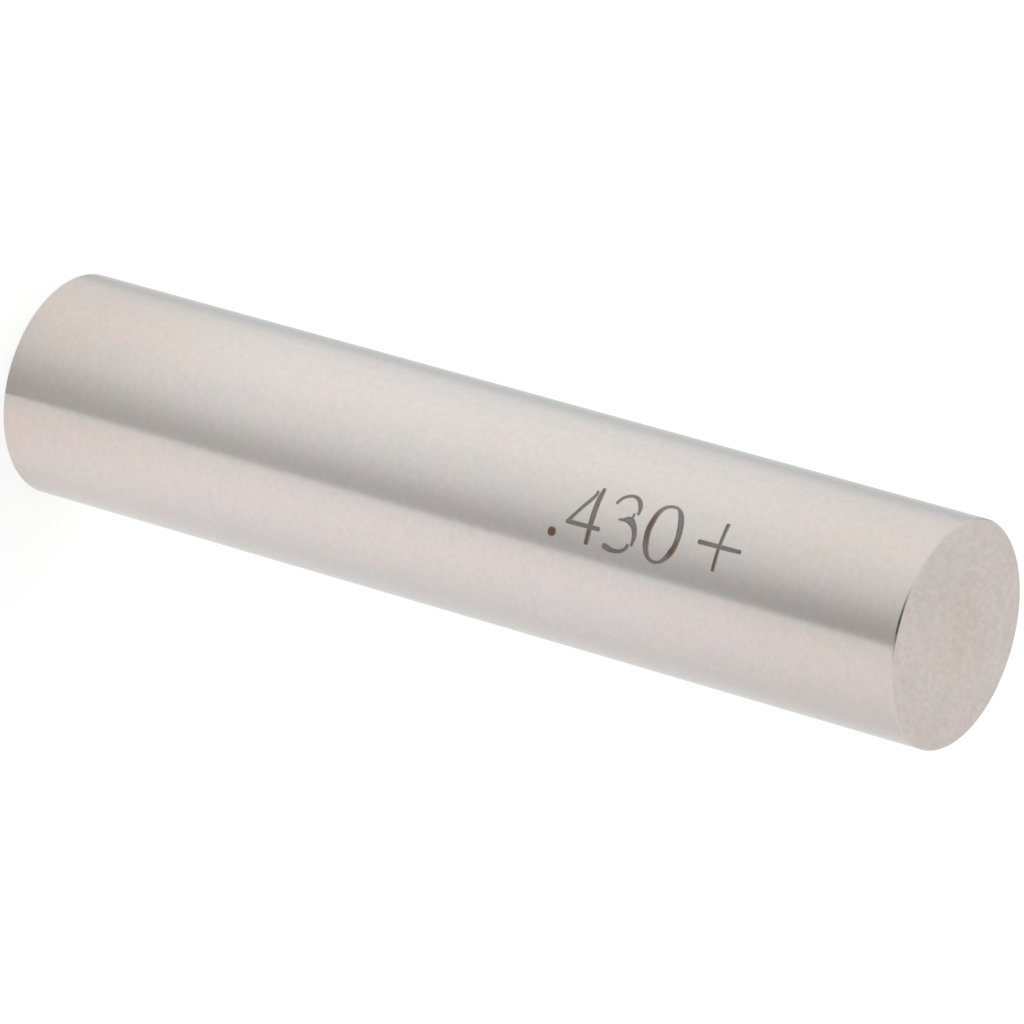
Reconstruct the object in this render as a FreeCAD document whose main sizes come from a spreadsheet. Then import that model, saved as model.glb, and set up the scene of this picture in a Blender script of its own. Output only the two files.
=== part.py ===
"""A plain pin gauge: one hardened steel pin, ground round and lapped to an exact diameter.

The whole gauge is one solid piece. Its lateral surface is the gauging surface. Its two ends are
ground flat and square to the axis, and a very small chamfer breaks the edge round each end, so
that the pin enters a hole without scraping it and does not chip.

Frame: the pin stands on one flat end. The origin is at the centre of that end, and +Z runs along
the axis to the other end. The section is the same at every azimuth about Z.

All lengths are in millimetres.
"""

import FreeCAD, Part
import Sketcher
import os

PARTS_FOLDER = "parts"
SHEET_NAME = "Dimensions"
PIN_NAME = "gauge_pin"

# The driving dimensions: the alias in the spreadsheet, its value, and what it measures.
DRIVING_DIMENSIONS = (
    ("gauge_diameter", "10.922", "nominal size across the gauging surface, 0.430 inch"),
    ("gauge_length", "50.8", "overall length between the two end faces, 2 inches"),
    ("edge_break", "0.08", "leg of the 45 degree chamfer round each end"),
)

# Where a sketch constraint touches its line, and the sketch's own origin point and axes.
LINE_START = 1
LINE_END = 2
SKETCH_ORIGIN = -1
ORIGIN_POINT = 1


def make_sheet(doc):
    """The spreadsheet that holds the driving dimensions, one row for each."""
    sheet = doc.addObject("Spreadsheet::Sheet", SHEET_NAME)
    for row, (alias, value, meaning) in enumerate(DRIVING_DIMENSIONS, start=1):
        sheet.set(f"A{row}", alias)
        sheet.set(f"B{row}", value)
        sheet.setAlias(f"B{row}", alias)
        sheet.set(f"C{row}", meaning)
    doc.recompute()
    return sheet


def origin_plane(body, role):
    """The plane of the body's own origin that has this role, such as XZ_Plane."""
    return next(feature for feature in body.Origin.OriginFeatures if feature.Role == role)


def draw_half_section(body, sheet):
    """Half of the pin's lengthwise section: a rectangle with one long side on the axis."""
    sketch = body.newObject("Sketcher::SketchObject", "half_section")
    sketch.AttachmentSupport = [(origin_plane(body, "XZ_Plane"), "")]
    sketch.MapMode = "FlatFace"

    radius = sheet.gauge_diameter / 2
    length = sheet.gauge_length
    corners = (
        FreeCAD.Vector(0, 0, 0),
        FreeCAD.Vector(radius, 0, 0),
        FreeCAD.Vector(radius, length, 0),
        FreeCAD.Vector(0, length, 0),
    )
    sides = [
        sketch.addGeometry(Part.LineSegment(corner, corners[(index + 1) % 4]), False)
        for index, corner in enumerate(corners)
    ]
    lower_end, gauging_side, upper_end, axis_side = sides

    for index, side in enumerate(sides):
        next_side = sides[(index + 1) % 4]
        sketch.addConstraint(
            Sketcher.Constraint("Coincident", side, LINE_END, next_side, LINE_START)
        )
    for side in (lower_end, upper_end):
        sketch.addConstraint(Sketcher.Constraint("Horizontal", side))
    for side in (gauging_side, axis_side):
        sketch.addConstraint(Sketcher.Constraint("Vertical", side))
    sketch.addConstraint(
        Sketcher.Constraint("Coincident", lower_end, LINE_START, SKETCH_ORIGIN, ORIGIN_POINT)
    )

    radius_constraint = sketch.addConstraint(
        Sketcher.Constraint("DistanceX", lower_end, LINE_START, lower_end, LINE_END, radius)
    )
    sketch.renameConstraint(radius_constraint, "pin_radius")
    sketch.setExpression("Constraints.pin_radius", f"{SHEET_NAME}.gauge_diameter / 2")

    length_constraint = sketch.addConstraint(
        Sketcher.Constraint("DistanceY", gauging_side, LINE_START, gauging_side, LINE_END, length)
    )
    sketch.renameConstraint(length_constraint, "pin_length")
    sketch.setExpression("Constraints.pin_length", f"{SHEET_NAME}.gauge_length")
    return sketch


def turn_blank(body, half_section):
    """The ground cylinder with sharp edges: the half section turned once about the axis."""
    blank = body.newObject("PartDesign::Revolution", "ground_cylinder")
    blank.Profile = half_section
    blank.ReferenceAxis = (half_section, ["V_Axis"])
    blank.Angle = 360
    half_section.Visibility = False
    body.Document.recompute()
    return blank


def break_end_edges(body, blank):
    """A small chamfer on both rims, the only circular edges of the sharp cylinder."""
    rims = [
        f"Edge{number}"
        for number, edge in enumerate(blank.Shape.Edges, start=1)
        if isinstance(edge.Curve, Part.Circle)
    ]
    chamfer = body.newObject("PartDesign::Chamfer", "broken_edges")
    chamfer.Base = (blank, rims)
    chamfer.setExpression("Size", f"{SHEET_NAME}.edge_break")
    body.Tip = chamfer
    return chamfer


def make_gauge_pin(doc, sheet):
    """The one piece that the gauge consists of."""
    body = doc.addObject("PartDesign::Body", PIN_NAME)
    body.Label = PIN_NAME
    body.Placement = FreeCAD.Placement()
    half_section = draw_half_section(body, sheet)
    blank = turn_blank(body, half_section)
    break_end_edges(body, blank)
    doc.recompute()
    return body


def check_document(doc, pieces):
    """Stops if any object failed to recompute, or if a piece is not one valid solid."""
    for item in doc.Objects:
        failures = {"Invalid", "Error"}.intersection(item.State)
        if failures:
            raise RuntimeError(f"{item.Name} failed to recompute: {sorted(failures)}")
    for piece in pieces:
        shape = piece.Shape
        if shape.isNull() or not shape.isValid() or len(shape.Solids) != 1:
            raise RuntimeError(f"{piece.Label} is not one valid solid")


def write_pieces(pieces):
    """Writes each piece to a STEP file that is named after it."""
    os.makedirs(PARTS_FOLDER, exist_ok=True)
    for piece in pieces:
        piece.Shape.exportStep(os.path.join(PARTS_FOLDER, f"{piece.Label}.step"))
        box = piece.Shape.BoundBox
        print(
            f"{piece.Label}: {box.XLength:.3f} x {box.YLength:.3f} x {box.ZLength:.3f} mm,"
            f" volume {piece.Shape.Volume:.2f} mm3"
        )


document = FreeCAD.newDocument("PinGauge")
dimension_sheet = make_sheet(document)
gauge_pieces = [make_gauge_pin(document, dimension_sheet)]
check_document(document, gauge_pieces)
write_pieces(gauge_pieces)
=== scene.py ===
"""The looks of a plain pin gauge: a ground and lapped steel pin that stands on one end.

The pin keeps its CAD mesh and gets its finish here: circumferential lapping lines on the gauging
surface, a matt grind on the two ends and a satin edge break between them. The size mark is heat
tinted by a laser. It is a set of thin ribbons, sunk in the gauging surface but for a few hundredths
of a millimetre.

Lengths are in metres, as in the frame. Where it helps, they are written in millimetres times MM.
Azimuths are in degrees about +Z: 0 is the side that faces the camera, and +90 is the +X side.
"""

import math

import bmesh
import bpy
from mathutils import Matrix, Vector


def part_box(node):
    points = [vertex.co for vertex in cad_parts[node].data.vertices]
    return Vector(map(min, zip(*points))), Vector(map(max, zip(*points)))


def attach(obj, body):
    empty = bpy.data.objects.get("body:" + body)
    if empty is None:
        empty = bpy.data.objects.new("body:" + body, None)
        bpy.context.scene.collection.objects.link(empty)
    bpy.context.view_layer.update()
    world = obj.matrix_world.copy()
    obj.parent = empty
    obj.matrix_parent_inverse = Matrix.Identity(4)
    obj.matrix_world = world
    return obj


MM = 0.001
PIN = "gauge_pin"
WHITE = (1.0, 1.0, 1.0)

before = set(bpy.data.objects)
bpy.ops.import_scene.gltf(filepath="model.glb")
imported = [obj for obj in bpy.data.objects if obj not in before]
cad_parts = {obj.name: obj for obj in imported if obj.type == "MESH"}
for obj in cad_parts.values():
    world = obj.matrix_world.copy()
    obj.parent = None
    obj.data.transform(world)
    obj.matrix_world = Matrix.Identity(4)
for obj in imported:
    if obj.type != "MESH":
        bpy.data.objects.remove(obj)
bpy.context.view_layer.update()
pin_low, pin_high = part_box(PIN)
pin_radius = (pin_high.x - pin_low.x) / 2
pin_length = pin_high.z - pin_low.z

scene = bpy.context.scene
scene.view_settings.view_transform = "Standard"


# ---------------------------------------------------------------- camera

CAMERA_AIM = Vector((0.157, 0.0, 26.148)) * MM
CAMERA_DISTANCE = 403.3 * MM
CAMERA_ELEVATION = 31.76
CAMERA_ROLL = 105.88
CAMERA_LENS = 302.1  # millimetres, on a 36 mm sensor


def toward(azimuth, elevation):
    """The unit vector that points from the pin to this azimuth and elevation, in degrees."""
    across = math.radians(azimuth)
    above = math.radians(elevation)
    return Vector(
        (
            math.sin(across) * math.cos(above),
            -math.cos(across) * math.cos(above),
            math.sin(above),
        )
    )


def make_camera():
    """The camera looks down at the pin and is rolled, so that the pin lies across the picture."""
    data = bpy.data.cameras.new("camera")
    data.lens = CAMERA_LENS
    data.sensor_width = 36.0
    data.clip_start = 0.01
    data.clip_end = 10.0
    camera = bpy.data.objects.new("camera", data)
    back = toward(0, CAMERA_ELEVATION)
    level = (-back).to_track_quat("-Z", "Y").to_matrix().to_4x4()
    roll = Matrix.Rotation(math.radians(CAMERA_ROLL), 4, "Z")
    camera.matrix_world = Matrix.Translation(CAMERA_AIM + back * CAMERA_DISTANCE) @ level @ roll
    scene.collection.objects.link(camera)
    scene.camera = camera


# ---------------------------------------------------------------- node helpers


def add_node(tree, kind, inputs=None, **settings):
    """A node with its settings and inputs: an input is a constant or another node's output."""
    node = tree.nodes.new(kind)
    for name, value in settings.items():
        setattr(node, name, value)
    for name, value in (inputs or {}).items():
        if isinstance(value, bpy.types.NodeSocket):
            tree.links.new(value, node.inputs[name])
        else:
            node.inputs[name].default_value = value
    return node


def math_node(tree, operation, *values, clamp=False):
    """The output of a Math node with these values or sockets as its inputs."""
    inputs = dict(enumerate(values))
    node = add_node(tree, "ShaderNodeMath", inputs, operation=operation, use_clamp=clamp)
    return node.outputs[0]


def ramp_node(tree, factor, stops, interpolation="LINEAR"):
    """A colour ramp whose stops are (position, colour) pairs, in order."""
    node = add_node(tree, "ShaderNodeValToRGB", {"Fac": factor})
    ramp = node.color_ramp
    ramp.interpolation = interpolation
    while len(ramp.elements) < len(stops):
        ramp.elements.new(1.0)
    for element, (position, colour) in zip(ramp.elements, stops):
        element.position = position
        element.color = (*colour, 1.0)
    return node.outputs["Color"]


def mix_colours(tree, factor, first, second, blend="MIX"):
    """The mix of two colours, each a constant or a socket."""
    node = add_node(tree, "ShaderNodeMix", data_type="RGBA", blend_type=blend)
    for index, value in ((0, factor), (6, first), (7, second)):
        if isinstance(value, bpy.types.NodeSocket):
            tree.links.new(value, node.inputs[index])
        elif index:
            node.inputs[index].default_value = (*value, 1.0)
        else:
            node.inputs[index].default_value = value
    return node.outputs[2]


def multiply_colours(tree, first, second):
    """The product of two colours, each a constant or a socket."""
    return mix_colours(tree, 1.0, first, second, "MULTIPLY")


def smooth_step(tree, value, low, high):
    """0 below low, 1 above high and smooth between them."""
    return add_node(
        tree,
        "ShaderNodeMapRange",
        {"Value": value, "From Min": low, "From Max": high},
        interpolation_type="SMOOTHSTEP",
    ).outputs["Result"]


def object_place(tree):
    """The shaded point's place in the object's own frame."""
    return add_node(tree, "ShaderNodeTexCoord").outputs["Object"]


def new_tree(owner):
    """The owner's node tree, emptied."""
    owner.use_nodes = True
    owner.node_tree.nodes.clear()
    return owner.node_tree


# ---------------------------------------------------------------- studio

# What the steel sees round it along the table and low walls. Each row is (azimuth, brightness,
# green, blue), and the green and blue are shares of the brightness. A darker band in front of the
# pin, with one hard edge, gives the ground cylinder its shape, as a grey card beside the camera
# does.
SURROUND_LOW = (
    (-180, 0.90, 1.063, 1.09),
    (-164, 0.80, 1.063, 1.09),
    (-154, 0.66, 1.07, 1.10),
    (-146, 0.60, 1.07, 1.10),
    (-140, 0.62, 1.06, 1.08),
    (-134, 0.74, 1.05, 1.07),
    (-128, 0.82, 1.05, 1.06),
    (-118, 0.91, 1.028, 1.04),
    (-100, 0.96, 1.007, 1.01),
    (-80, 1.00, 0.99, 0.985),
    (-60, 0.985, 0.993, 0.99),
    (-44, 0.92, 1.014, 1.02),
    (-30, 0.875, 1.018, 1.025),
    (-16, 0.81, 1.028, 1.04),
    (-4, 0.71, 1.028, 1.04),
    (6, 0.62, 1.021, 1.03),
    (14, 0.555, 1.025, 1.035),
    (26.8, 0.495, 1.028, 1.04),
    (28.4, 0.85, 1.02, 1.03),
    (36, 0.89, 1.00, 1.01),
    (50, 0.955, 0.965, 0.97),
    (60, 0.96, 0.970, 0.985),
    (80, 0.92, 0.980, 1.005),
    (100, 0.845, 1.000, 1.025),
    (120, 0.78, 1.010, 1.025),
    (138, 0.785, 1.020, 1.03),
    (152, 0.80, 1.042, 1.06),
    (180, 0.90, 1.063, 1.09),
)
# The same overhead, in plain grey. The studio is open and dark there on the camera's side.
SURROUND_HIGH = (
    (-180, 0.85),
    (-60, 0.90),
    (-42, 0.82),
    (-26, 0.44),
    (-10, 0.115),
    (14, 0.07),
    (30, 0.31),
    (44, 0.72),
    (60, 0.88),
    (180, 0.85),
)
# Painted shadow and light, seen only by the steel: the table shows the low surround times these,
# close to the pin's foot and far out, where they dim it.
PAINTED_FOOT_SHADE = (
    (-180, 1.06),
    (-150, 1.02),
    (-136, 0.95),
    (-100, 0.90, 0.98, 0.97),
    (-60, 0.885, 0.98, 0.97),
    (-30, 0.90, 0.98, 0.97),
    (-10, 0.855, 0.98, 0.97),
    (6, 0.89, 0.99, 0.98),
    (24, 0.97, 0.99, 0.98),
    (60, 0.97, 0.98, 0.97),
    (80, 1.04, 0.98, 0.97),
    (100, 1.10),
    (180, 1.06),
)
PAINTED_FAR_SHADE = (
    (-180, 1.0),
    (-136, 0.96),
    (-100, 0.90),
    (-60, 0.89),
    (-30, 0.87),
    (-4, 0.81),
    (14, 0.77),
    (26.8, 0.73),
    (28.4, 0.87),
    (80, 0.885),
    (120, 0.92),
    (180, 1.0),
)
FOOT_REACH = (8 * MM, 27 * MM)  # the foot's shade is full up to the first, gone past the second
FAR_REACH = (50 * MM, 100 * MM)  # the far shade starts at the first, is full past the second
HIGH_REACH = (0.15, 0.6)  # the sine of the elevation where the high surround starts, and is full
AMBIENT = 0.8  # the studio's light on whatever isn't a mirror
MIRROR_ROUNDS = 4  # rounds of the search in mirrored_azimuth, enough for it to settle

TABLE_RADIUS = 3.0
TABLE_SIDES = 96
PAPER = 0.25  # the share of its tone that the table takes from the light, shadow and all
PAPER_GLOW = 0.78  # the share that it always shows, which keeps it white

LAMP_DIRECTION = (-120, 65)  # azimuth and elevation
LAMP_DISTANCE = 700 * MM
LAMP_SIZE = 600 * MM
LAMP_POWER = 1.5


def shade(brightness, green=1.0, blue=1.0):
    """A near grey of this brightness, whose green and blue are shares of it."""
    return (brightness, brightness * green, brightness * blue)


def azimuth_ramp(tree, azimuth, stops):
    """The colour that the stops give at this azimuth, in radians."""
    turn = math_node(tree, "MULTIPLY_ADD", azimuth, 1 / (2 * math.pi), 0.5)
    colours = [((angle + 180) / 360, shade(*levels)) for angle, *levels in stops]
    return ramp_node(tree, turn, colours)


def azimuth_node(tree, vector):
    """The azimuth of a vector, in radians, and its outputs by axis."""
    parts = add_node(tree, "ShaderNodeSeparateXYZ", {"Vector": vector}).outputs
    toward_camera = math_node(tree, "MULTIPLY", parts["Y"], -1.0)
    return math_node(tree, "ARCTAN2", parts["X"], toward_camera), parts


def seen_rays(tree):
    """Two flags: a ray from the camera, a mirror or glass, and a ray from a mirror alone."""
    path = add_node(tree, "ShaderNodeLightPath").outputs
    glossy = path["Is Glossy Ray"]
    either = math_node(tree, "MAXIMUM", path["Is Camera Ray"], glossy)
    return math_node(tree, "MAXIMUM", either, path["Is Transmission Ray"]), glossy


def make_world():
    """A white studio, with the surround's shades where only the steel sees them."""
    world = bpy.data.worlds.new("studio")
    scene.world = world
    world.cycles.sampling_method = "NONE"
    tree = new_tree(world)
    seen, glossy = seen_rays(tree)
    direction = add_node(tree, "ShaderNodeTexCoord").outputs["Generated"]
    azimuth, parts = azimuth_node(tree, direction)
    low = azimuth_ramp(tree, azimuth, SURROUND_LOW)
    high = azimuth_ramp(tree, azimuth, SURROUND_HIGH)
    surround = mix_colours(tree, smooth_step(tree, parts["Z"], *HIGH_REACH), low, high)
    shown = mix_colours(tree, glossy, WHITE, surround)
    colour = mix_colours(tree, seen, shade(AMBIENT), shown)
    background = add_node(tree, "ShaderNodeBackground", {"Color": colour, "Strength": 1.0})
    output = add_node(tree, "ShaderNodeOutputWorld")
    tree.links.new(background.outputs["Background"], output.inputs["Surface"])


def mirrored_azimuth(tree, position):
    """The surround's azimuth for a place on the table, and the place's distance from the axis.

    A ray from the front that meets the pin at azimuth a leaves it toward azimuth 2a. The place
    takes the 2a of the ray that crosses it, so each shade keeps to one line along the pin.
    """
    azimuth, _ = azimuth_node(tree, position)
    distance = add_node(
        tree, "ShaderNodeVectorMath", {0: position}, operation="LENGTH"
    ).outputs["Value"]
    nearness = math_node(tree, "DIVIDE", pin_radius, distance, clamp=True)
    leaving = azimuth
    for _ in range(MIRROR_ROUNDS):
        half = math_node(tree, "MULTIPLY", leaving, 0.5)
        offset = math_node(tree, "MULTIPLY", math_node(tree, "SINE", half), nearness)
        leaving = math_node(tree, "ADD", azimuth, math_node(tree, "ARCSINE", offset))
    return leaving, distance


def make_floor():
    """A large pale table top. To the steel it shows the surround's shades, painted on it, with a
    painted shadow round the pin's foot and a painted dimming far out.
    """
    mesh = bpy.data.meshes.new("floor")
    edges = bmesh.new()
    bmesh.ops.create_circle(edges, cap_ends=True, segments=TABLE_SIDES, radius=TABLE_RADIUS)
    edges.to_mesh(mesh)
    edges.free()
    floor = bpy.data.objects.new("floor", mesh)
    scene.collection.objects.link(floor)

    material = bpy.data.materials.new("floor")
    material.cycles.emission_sampling = "NONE"
    mesh.materials.append(material)
    tree = new_tree(material)
    seen, glossy = seen_rays(tree)
    position = add_node(tree, "ShaderNodeNewGeometry").outputs["Position"]
    azimuth, distance = mirrored_azimuth(tree, position)
    surround = azimuth_ramp(tree, azimuth, SURROUND_LOW)
    # Painted shadow and light round the pin's foot, and painted dimming far out, in the tone that
    # only the steel sees.
    near = smooth_step(tree, distance, *FOOT_REACH)
    foot = mix_colours(tree, near, azimuth_ramp(tree, azimuth, PAINTED_FOOT_SHADE), WHITE)
    beyond = smooth_step(tree, distance, *FAR_REACH)
    far = mix_colours(tree, beyond, WHITE, azimuth_ramp(tree, azimuth, PAINTED_FAR_SHADE))
    reflected = multiply_colours(tree, surround, multiply_colours(tree, foot, far))
    tone = mix_colours(tree, glossy, WHITE, reflected)
    paper = multiply_colours(tree, tone, shade(PAPER))
    diffuse = add_node(tree, "ShaderNodeBsdfDiffuse", {"Color": paper})
    lift = math_node(tree, "MULTIPLY", seen, PAPER_GLOW)
    glow = add_node(tree, "ShaderNodeEmission", {"Color": tone, "Strength": lift})
    surface = add_node(
        tree,
        "ShaderNodeAddShader",
        {0: diffuse.outputs["BSDF"], 1: glow.outputs["Emission"]},
    )
    output = add_node(tree, "ShaderNodeOutputMaterial")
    tree.links.new(surface.outputs["Shader"], output.inputs["Surface"])


def make_lamp():
    """One large soft lamp above and behind the pin."""
    data = bpy.data.lights.new("key", "AREA")
    data.shape = "DISK"
    data.size = LAMP_SIZE
    data.energy = LAMP_POWER
    lamp = bpy.data.objects.new("key", data)
    lamp.visible_glossy = False
    back = toward(*LAMP_DIRECTION)
    turn = back.to_track_quat("Z", "Y").to_matrix().to_4x4()
    lamp.matrix_world = Matrix.Translation(back * LAMP_DISTANCE) @ turn
    scene.collection.objects.link(lamp)


# ---------------------------------------------------------------- materials


def steel_principled(tree, colour, roughness, **constants):
    """A metal Principled BSDF. Constants go straight onto its own sockets."""
    inputs = {"Base Color": colour, "Metallic": 1.0, "Roughness": roughness}
    return add_node(tree, "ShaderNodeBsdfPrincipled", inputs | constants)


def finish_material(tree, shader):
    """Links the shader to the material's output."""
    output = add_node(tree, "ShaderNodeOutputMaterial")
    tree.links.new(shader.outputs["BSDF"], output.inputs["Surface"])


def noise_node(tree, grain, detail=2.0, offset=0.0):
    """Noise, 0 to 1 round 0.5, whose features are grain = (x, y, z) metres in size."""
    scaled = add_node(
        tree,
        "ShaderNodeVectorMath",
        {0: object_place(tree), 1: [1 / size for size in grain], 2: (offset,) * 3},
        operation="MULTIPLY_ADD",
    )
    noise = add_node(
        tree,
        "ShaderNodeTexNoise",
        {"Vector": scaled.outputs["Vector"], "Scale": 1.0, "Detail": detail},
    )
    return noise.outputs["Fac"]


def vary(tree, noise, middle, gain):
    """A number that varies round its middle value with the noise."""
    return math_node(tree, "MULTIPLY_ADD", noise, gain, middle - gain / 2)


def toned(tree, colour, *factors):
    """The colour, darker or lighter by each of the factors round 1."""
    for factor in factors:
        grey = add_node(
            tree, "ShaderNodeCombineColor", {"Red": factor, "Green": factor, "Blue": factor}
        ).outputs["Color"]
        colour = multiply_colours(tree, colour, grey)
    return colour


def bumps(tree, height, depth, strength):
    """The shading normal of relief this deep, from a 0 to 1 height."""
    inputs = {"Strength": strength, "Distance": depth, "Height": height}
    return add_node(tree, "ShaderNodeBump", inputs).outputs["Normal"]


LAPPED = (0.750, 0.695, 0.661)
LAPPED_ENDS = (1.0, 0.982, 0.968)  # a little more straw, by these shares, near the pin's ends
ENDS_REACH = (0.5, 0.85)  # where that starts and is full, from the middle (0) to an end (1)
BLUSH_GAIN = 0.075  # how much the red and the blue wander over the surface
STRAW_GAIN = 0.060
LAPPED_ROUGHNESS = 0.25
ANISOTROPY = 0.9
ALONG_THE_PIN = 0.25  # turns from the tangent, which runs round the pin


def lapped_surface():
    """The gauging surface: lapping lines run round it, so its highlight spreads along the pin."""
    material = bpy.data.materials.new("lapped_steel")
    tree = new_tree(material)
    lines = noise_node(tree, (2.5 * MM, 2.5 * MM, 0.18 * MM))
    grain = noise_node(tree, (0.30 * MM,) * 3, detail=1.0, offset=7.0)
    blush = noise_node(tree, (1.5 * MM,) * 3, offset=19.0)
    straw = noise_node(tree, (2.5 * MM,) * 3, offset=31.0)
    colour = add_node(
        tree,
        "ShaderNodeCombineColor",
        {
            "Red": vary(tree, blush, LAPPED[0], BLUSH_GAIN),
            "Green": LAPPED[1],
            "Blue": vary(tree, straw, LAPPED[2], STRAW_GAIN),
        },
    ).outputs["Color"]
    parts = add_node(tree, "ShaderNodeSeparateXYZ", {"Vector": object_place(tree)}).outputs
    along = math_node(tree, "MULTIPLY_ADD", parts["Z"], 2 / pin_length, -1.0)
    near_end = smooth_step(tree, math_node(tree, "ABSOLUTE", along), *ENDS_REACH)
    colour = multiply_colours(tree, colour, mix_colours(tree, near_end, WHITE, LAPPED_ENDS))
    colour = toned(tree, colour, vary(tree, lines, 1.0, 0.04), vary(tree, grain, 1.0, 0.11))
    roughness = vary(tree, lines, LAPPED_ROUGHNESS, 0.03)
    relief = bumps(tree, lines, 0.001 * MM, 0.25)
    tangent = add_node(
        tree, "ShaderNodeTangent", direction_type="RADIAL", axis="Z"
    ).outputs["Tangent"]
    shader = steel_principled(
        tree,
        colour,
        roughness,
        Anisotropic=ANISOTROPY,
        **{"Anisotropic Rotation": ALONG_THE_PIN, "Tangent": tangent, "Normal": relief},
    )
    finish_material(tree, shader)
    return material


END_TONES = ((0.1, (0.727, 0.645, 0.583)), (0.6, (0.726, 0.655, 0.620)))  # by share of radius


def end_surface():
    """The two end faces: a matt, slightly cloudy grind, a little yellower in the middle."""
    material = bpy.data.materials.new("ground_end")
    tree = new_tree(material)
    flat = {0: object_place(tree), 1: (1.0, 1.0, 0.0)}
    across = add_node(tree, "ShaderNodeVectorMath", flat, operation="MULTIPLY").outputs["Vector"]
    radius = add_node(
        tree, "ShaderNodeVectorMath", {0: across}, operation="LENGTH"
    ).outputs["Value"]
    share = math_node(tree, "DIVIDE", radius, pin_radius, clamp=True)
    cloud = noise_node(tree, (3.0 * MM,) * 3, offset=3.0)
    grain = noise_node(tree, (0.23 * MM, 0.42 * MM, 0.28 * MM), detail=1.0, offset=11.0)
    colour = ramp_node(tree, share, END_TONES, "EASE")
    colour = toned(tree, colour, vary(tree, cloud, 1.0, 0.13), vary(tree, grain, 1.0, 0.31))
    roughness = vary(tree, grain, 0.55, 0.15)
    relief = bumps(tree, grain, 0.004 * MM, 0.4)
    shader = steel_principled(tree, colour, roughness, Normal=relief)
    finish_material(tree, shader)
    return material


EDGE_BREAK = (0.72, 0.67, 0.63)


def edge_surface():
    """The edge breaks: a smoother satin, stoned by hand."""
    material = bpy.data.materials.new("broken_edge")
    tree = new_tree(material)
    grain = noise_node(tree, (0.25 * MM,) * 3, offset=5.0)
    colour = toned(tree, EDGE_BREAK, vary(tree, grain, 1.0, 0.2))
    shader = steel_principled(tree, colour, vary(tree, grain, 0.2, 0.1))
    finish_material(tree, shader)
    return material


END_RISE = 0.9  # a face whose normal's upright share is above this belongs to an end
EDGE_RISE = 0.3  # one above this, but no more, belongs to an edge break


def dress_pin():
    """Gives the pin's faces their three finishes, by which way each face looks."""
    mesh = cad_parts[PIN].data
    mesh.materials.clear()
    for material in (lapped_surface(), end_surface(), edge_surface()):
        mesh.materials.append(material)
    for face in mesh.polygons:
        rise = abs(face.normal.z)
        if rise > END_RISE:
            face.material_index = 1
        elif rise > EDGE_RISE:
            face.material_index = 2
        else:
            face.material_index = 0


# ---------------------------------------------------------------- size mark

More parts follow.
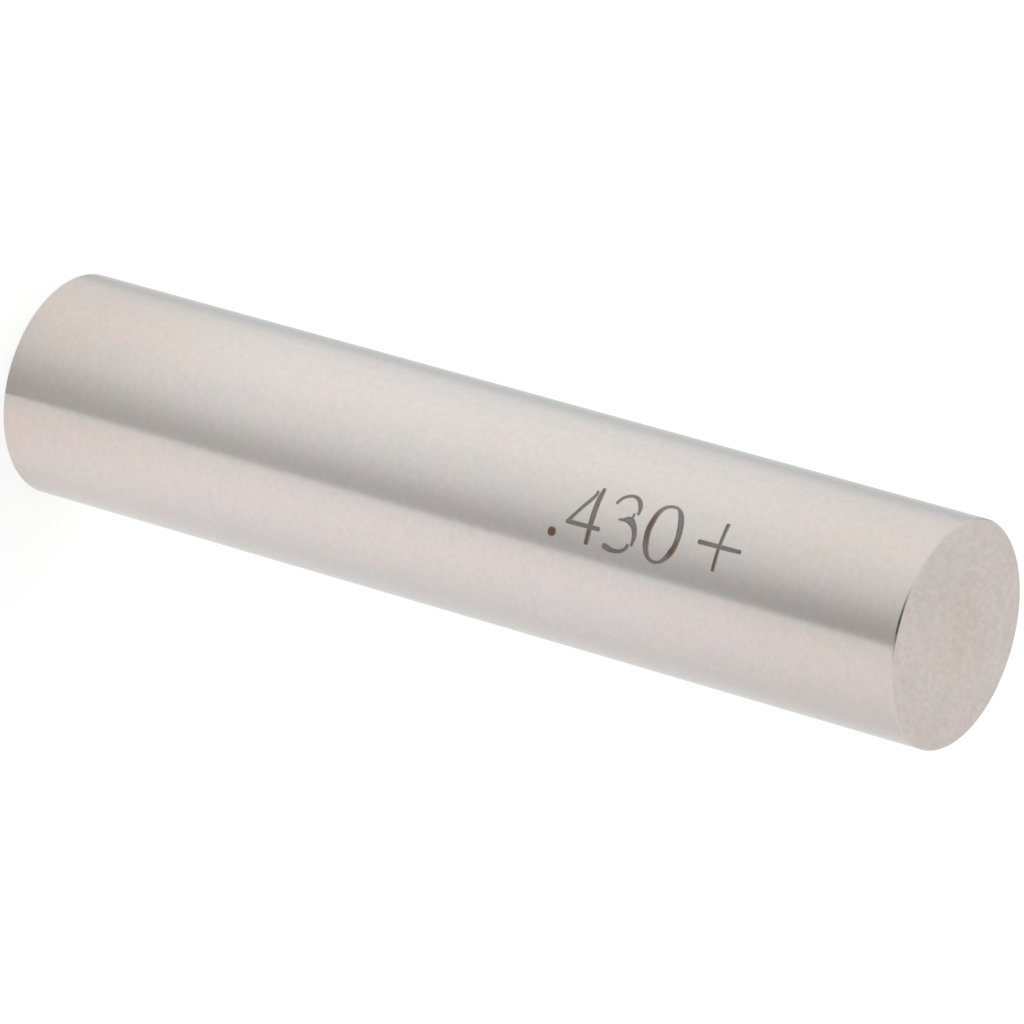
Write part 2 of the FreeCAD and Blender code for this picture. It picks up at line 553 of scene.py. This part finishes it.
# The gauge's size in inches and the sign of its tolerance, as plain figures. Each row is a point
# of a stroke: its place along the pin and round it (0 faces the camera, and + is toward +X) and
# the stroke's width, all in millimetres, and its heat tint, -1 for blue to 1 for brown.
MARK_STROKES = {
    "point": ((31.645, 0.51, 0.44, 1.0), (32.085, 0.51, 0.44, 1.0)),
    "four_stem": (
        (33.78, -2.12, 0.12, 0.3),
        (33.77, -1.90, 0.17, 0.3),
        (33.75, -1.40, 0.22, 0.1),
        (33.77, -0.80, 0.23, 0.0),
        (33.79, -0.20, 0.22, 0.3),
        (33.80, 0.30, 0.20, 0.6),
        (33.80, 0.68, 0.20, 0.5),
    ),
    "four_bar": (
        (32.45, -0.14, 0.18, -0.1),
        (33.40, -0.155, 0.18, 0.0),
        (34.34, -0.17, 0.18, 0.1),
    ),
    "four_slope": (
        (33.51, -1.92, 0.10, 0.3),
        (33.515, -1.72, 0.11, 0.2),
        (33.38, -1.43, 0.13, 0.1),
        (33.10, -1.00, 0.12, 0.2),
        (32.78, -0.50, 0.13, 0.2),
        (32.58, -0.19, 0.15, 0.0),
    ),
    "three_top": (
        (34.68, -1.54, 0.10, 0.1),
        (34.78, -1.73, 0.10, 0.1),
        (34.93, -1.92, 0.11, 0.2),
        (35.13, -2.055, 0.11, 0.2),
        (35.36, -2.115, 0.12, 0.1),
        (35.58, -2.09, 0.15, 0.1),
        (35.80, -1.95, 0.18, -0.2),
        (35.94, -1.74, 0.19, -0.2),
        (36.00, -1.52, 0.14, 0.0),
        (36.00, -1.29, 0.08, 0.3),
    ),
    "three_spur": (
        (35.80, -1.34, 0.07, 0.3),
        (35.80, -1.16, 0.09, 0.1),
        (35.74, -1.00, 0.20, -0.5),
    ),
    "three_bowl": (
        (35.12, -0.855, 0.06, 0.2),
        (35.38, -0.90, 0.13, 0.1),
        (35.58, -0.945, 0.26, -0.6),
        (35.78, -0.92, 0.33, -0.9),
        (36.00, -0.74, 0.25, -0.6),
        (36.14, -0.50, 0.22, -0.1),
        (36.20, -0.27, 0.18, 0.0),
        (36.205, -0.06, 0.13, 0.2),
        (36.18, 0.19, 0.07, 0.7),
    ),
    "three_foot": (
        (35.99, 0.11, 0.08, 0.5),
        (35.96, 0.29, 0.13, 0.3),
        (35.80, 0.47, 0.15, 0.1),
        (35.53, 0.575, 0.17, 0.2),
        (35.23, 0.60, 0.20, 0.2),
        (34.98, 0.55, 0.24, 0.0),
        (34.68, 0.46, 0.22, 0.1),
    ),
    "nought": (
        (38.44, -0.75, 0.23, 0.1),
        (38.40, -1.10, 0.25, -0.2),
        (38.305, -1.45, 0.25, -0.6),
        (38.15, -1.80, 0.22, -0.8),
        (37.97, -2.03, 0.15, -0.2),
        (37.79, -2.13, 0.10, 0.1),
        (37.60, -2.145, 0.10, 0.1),
        (37.38, -2.10, 0.11, 0.1),
        (37.18, -1.98, 0.13, 0.0),
        (37.00, -1.73, 0.18, 0.0),
        (36.90, -1.40, 0.22, 0.7),
        (36.84, -1.00, 0.26, 0.9),
        (36.82, -0.75, 0.26, 0.7),
        (36.845, -0.45, 0.26, 0.5),
        (36.90, -0.13, 0.26, 0.2),
        (37.00, 0.18, 0.22, 0.0),
        (37.17, 0.43, 0.17, 0.2),
        (37.37, 0.555, 0.14, 0.2),
        (37.60, 0.59, 0.13, 0.2),
        (37.88, 0.50, 0.14, 0.1),
        (38.12, 0.27, 0.20, 0.1),
        (38.30, -0.03, 0.28, 0.9),
        (38.41, -0.35, 0.24, 0.7),
    ),
    "plus_bar": (
        (39.50, -0.885, 0.19, 0.2),
        (40.20, -0.895, 0.18, 0.1),
        (40.50, -0.90, 0.18, -0.3),
        (40.90, -0.905, 0.18, 0.0),
        (41.50, -0.915, 0.17, 0.1),
        (41.84, -0.925, 0.16, 0.5),
    ),
    "plus_stem": (
        (40.64, -2.08, 0.16, 0.4),
        (40.645, -1.60, 0.13, 0.4),
        (40.655, -0.90, 0.13, 0.3),
        (40.67, -0.40, 0.13, 0.9),
        (40.69, 0.28, 0.13, 0.8),
    ),
}
CLOSED_STROKES = ("nought",)
ROUND_STROKES = ("point",)
ROUND_END = 0.5  # the length of a round stroke's end, as a share of the stroke's width
BLUNT_END = 0.3  # the same for the other open strokes
FAINT_RIM = 0.06 * MM  # how wide a stroke's faint outer rim is; it straddles the stroke's edge
MARK_STEP = 0.03 * MM  # the spacing of a stroke's cross-sections
MARK_PROUD = 0.006 * MM  # how far the lowest ribbon stands above the gauging surface
MARK_LAYER = 0.0008 * MM  # how far each ribbon lies above the one before, so none coincide
MARK_DEPTH = 0.03 * MM  # how far every ribbon reaches into the pin
# Each stroke is two ribbons, one full and one less this inset. All the narrow ones lie above all
# the full ones, so that no stroke's faint rim covers another stroke's oxide where they cross.
MARK_INSETS = (0.0, FAINT_RIM / 3)
MARK_CREASE = math.radians(40)  # a ribbon's edges sharper than this are shaded as edges
ACROSS = 4  # faces across a stroke


def spline_rows(rows, closed):
    """Close rows along a Catmull-Rom spline through the given rows."""
    count = len(rows)
    rows = [Vector(row) for row in rows]
    spans = count if closed else count - 1
    path = []
    for span in range(spans):
        if closed:
            before, start, end, after = (rows[(span + shift) % count] for shift in (-1, 0, 1, 2))
        else:
            start, end = rows[span], rows[span + 1]
            before = rows[span - 1] if span else 2 * start - end
            after = rows[span + 2] if span + 2 < count else 2 * end - start
        steps = max(2, round((end - start).to_2d().length * MM / MARK_STEP))
        for step in range(steps):
            t = step / steps
            path.append(
                0.5
                * (
                    2 * start
                    + (end - before) * t
                    + (2 * before - 5 * start + 4 * end - after) * t**2
                    + (3 * start - before - 3 * end + after) * t**3
                )
            )
    if not closed:
        path.append(rows[-1])
    return path


def end_taper(distance, cap):
    """The share of its full width that a stroke has at this distance from its end."""
    if distance >= cap:
        return 1.0
    return math.sqrt(1 - (1 - distance / cap) ** 2)


def on_pin(along, around, height):
    """The point at this place along the pin and round it, this far above the gauging surface."""
    angle = around / pin_radius
    reach = pin_radius + height
    return Vector((reach * math.sin(angle), -reach * math.cos(angle), along))


def stroke_sections(rows, closed, cap_share):
    """Per cross-section: its centre, the sideways unit vector, its half width and its tint."""
    path = spline_rows(rows, closed)
    centres = [row.to_2d() * MM for row in path]
    runs = [0.0]
    for first, second in zip(centres, centres[1:]):
        runs.append(runs[-1] + (second - first).length)
    sections = []
    last = len(path) - 1
    for index, row in enumerate(path):
        width = row[2] * MM
        if closed:
            ahead = centres[(index + 1) % len(path)] - centres[index - 1]
        else:
            ahead = centres[min(index + 1, last)] - centres[max(index - 1, 0)]
            width *= end_taper(min(runs[index], runs[-1] - runs[index]), cap_share * width)
        sideways = Vector((-ahead.y, ahead.x)).normalized()
        sections.append((centres[index], sideways, (width + FAINT_RIM) / 2, row[3]))
    return sections


def section_ring(shape, section, top, inset):
    """The vertices round a cross-section, each with its offset and the half width, in mm."""
    centre, sideways, half, tint = section
    tint_layer = shape.verts.layers.float["tint"]
    offsets = [(half - inset) * (2 * step / ACROSS - 1) for step in range(ACROSS + 1)]
    places = [(offset, top) for offset in offsets]
    places += [(offset, -MARK_DEPTH) for offset in reversed(offsets)]
    ring = []
    for offset, height in places:
        spot = centre + sideways * offset
        vert = shape.verts.new(on_pin(spot.x, spot.y, height))
        vert[tint_layer] = tint
        ring.append((vert, (offset / MM, half / MM)))
    return ring


def add_face(shape, corners):
    """Adds one smooth face, whose corners come from section_ring."""
    face = shape.faces.new([vert for vert, _ in corners])
    face.smooth = True
    stroke_layer = shape.loops.layers.uv["stroke"]
    for loop, (_, place) in zip(face.loops, corners):
        loop[stroke_layer].uv = place


def add_ribbon(shape, name, rows, top, inset):
    """Adds a stroke, less this inset all along it, as a thin closed solid round the cylinder."""
    closed = name in CLOSED_STROKES
    cap_share = ROUND_END if name in ROUND_STROKES else BLUNT_END
    sections = stroke_sections(rows, closed, cap_share)
    rings = [section_ring(shape, section, top, inset) for section in sections]
    pairs = list(zip(rings, rings[1:]))
    if closed:
        pairs.append((rings[-1], rings[0]))
    for first, second in pairs:
        for corner in range(len(first)):
            follow = (corner + 1) % len(first)
            add_face(shape, (first[corner], second[corner], second[follow], first[follow]))
    if not closed:
        for ring in (rings[0], rings[-1]):
            for step in range(ACROSS):
                add_face(shape, (ring[step], ring[step + 1], ring[-2 - step], ring[-1 - step]))


# The oxide's colour by heat tint, from blue through bare grey to burnt and brown.
MARK_TINTS = (
    (0.0, (0.260, 0.275, 0.300)),
    (0.5, (0.290, 0.262, 0.240)),
    (0.75, (0.215, 0.172, 0.148)),
    (1.0, (0.205, 0.128, 0.092)),
)
MARK_RIM = (0.185, 0.163, 0.149)  # the dark line just inside the edge of a wide stroke
MARK_FAINT = (0.52, 0.48, 0.45)  # the thin oxide outside that line
MARK_STRAW = (0.60, 0.49, 0.38)  # the same beside a brown stroke
# Each pair is where a change starts and where it is full. The first two are distances inward from
# a stroke's outer edge and the third is its half width, in millimetres. The last is the tint.
FAINT_TO_OXIDE = (0.005, 0.055)
RIM_TO_CORE = (0.06, 0.10)
THIN_TO_WIDE = (0.08, 0.15)
GREY_TO_STRAW = (0.3, 0.8)
EDGE_WANDER = 0.04  # millimetres


def mark_surface():
    """Laser-annealed steel: a dull oxide tinted by heat, dark near a wide stroke's edges."""
    material = bpy.data.materials.new("annealed_mark")
    tree = new_tree(material)
    grain = noise_node(tree, (0.14 * MM,) * 3, offset=23.0)
    stroke = add_node(tree, "ShaderNodeUVMap", uv_map="stroke").outputs["UV"]
    parts = add_node(tree, "ShaderNodeSeparateXYZ", {"Vector": stroke}).outputs
    offset = math_node(tree, "ABSOLUTE", parts["X"])
    from_edge = math_node(tree, "SUBTRACT", parts["Y"], offset)
    inside = math_node(tree, "ADD", from_edge, vary(tree, grain, 0.0, EDGE_WANDER))
    tint = add_node(tree, "ShaderNodeAttribute", attribute_name="tint").outputs["Fac"]
    tint_share = math_node(tree, "MULTIPLY_ADD", tint, 0.5, 0.5, clamp=True)
    core = ramp_node(tree, tint_share, MARK_TINTS)
    near_edge = math_node(tree, "SUBTRACT", 1.0, smooth_step(tree, inside, *RIM_TO_CORE))
    wide = smooth_step(tree, parts["Y"], *THIN_TO_WIDE)
    oxide = mix_colours(tree, math_node(tree, "MULTIPLY", near_edge, wide), core, MARK_RIM)
    faint = mix_colours(tree, smooth_step(tree, tint, *GREY_TO_STRAW), MARK_FAINT, MARK_STRAW)
    colour = mix_colours(tree, smooth_step(tree, inside, *FAINT_TO_OXIDE), faint, oxide)
    colour = toned(tree, colour, vary(tree, grain, 1.0, 0.4))
    shader = steel_principled(tree, colour, vary(tree, grain, 0.5, 0.2))
    finish_material(tree, shader)
    return material


def make_size_mark():
    """The plain figures of the gauge's size, in all but flush ribbons on the gauging surface."""
    shape = bmesh.new()
    shape.loops.layers.uv.new("stroke")
    shape.verts.layers.float.new("tint")
    top = MARK_PROUD
    for inset in MARK_INSETS:
        for name, rows in MARK_STROKES.items():
            add_ribbon(shape, name, rows, top, inset)
            top += MARK_LAYER
    bmesh.ops.recalc_face_normals(shape, faces=shape.faces)
    mesh = bpy.data.meshes.new("size_mark")
    shape.to_mesh(mesh)
    shape.free()
    mesh.set_sharp_from_angle(angle=MARK_CREASE)
    mesh.materials.append(mark_surface())
    mark = bpy.data.objects.new("size_mark", mesh)
    scene.collection.objects.link(mark)
    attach(mark, "root")


make_camera()
make_world()
make_floor()
make_lamp()
dress_pin()
make_size_mark()
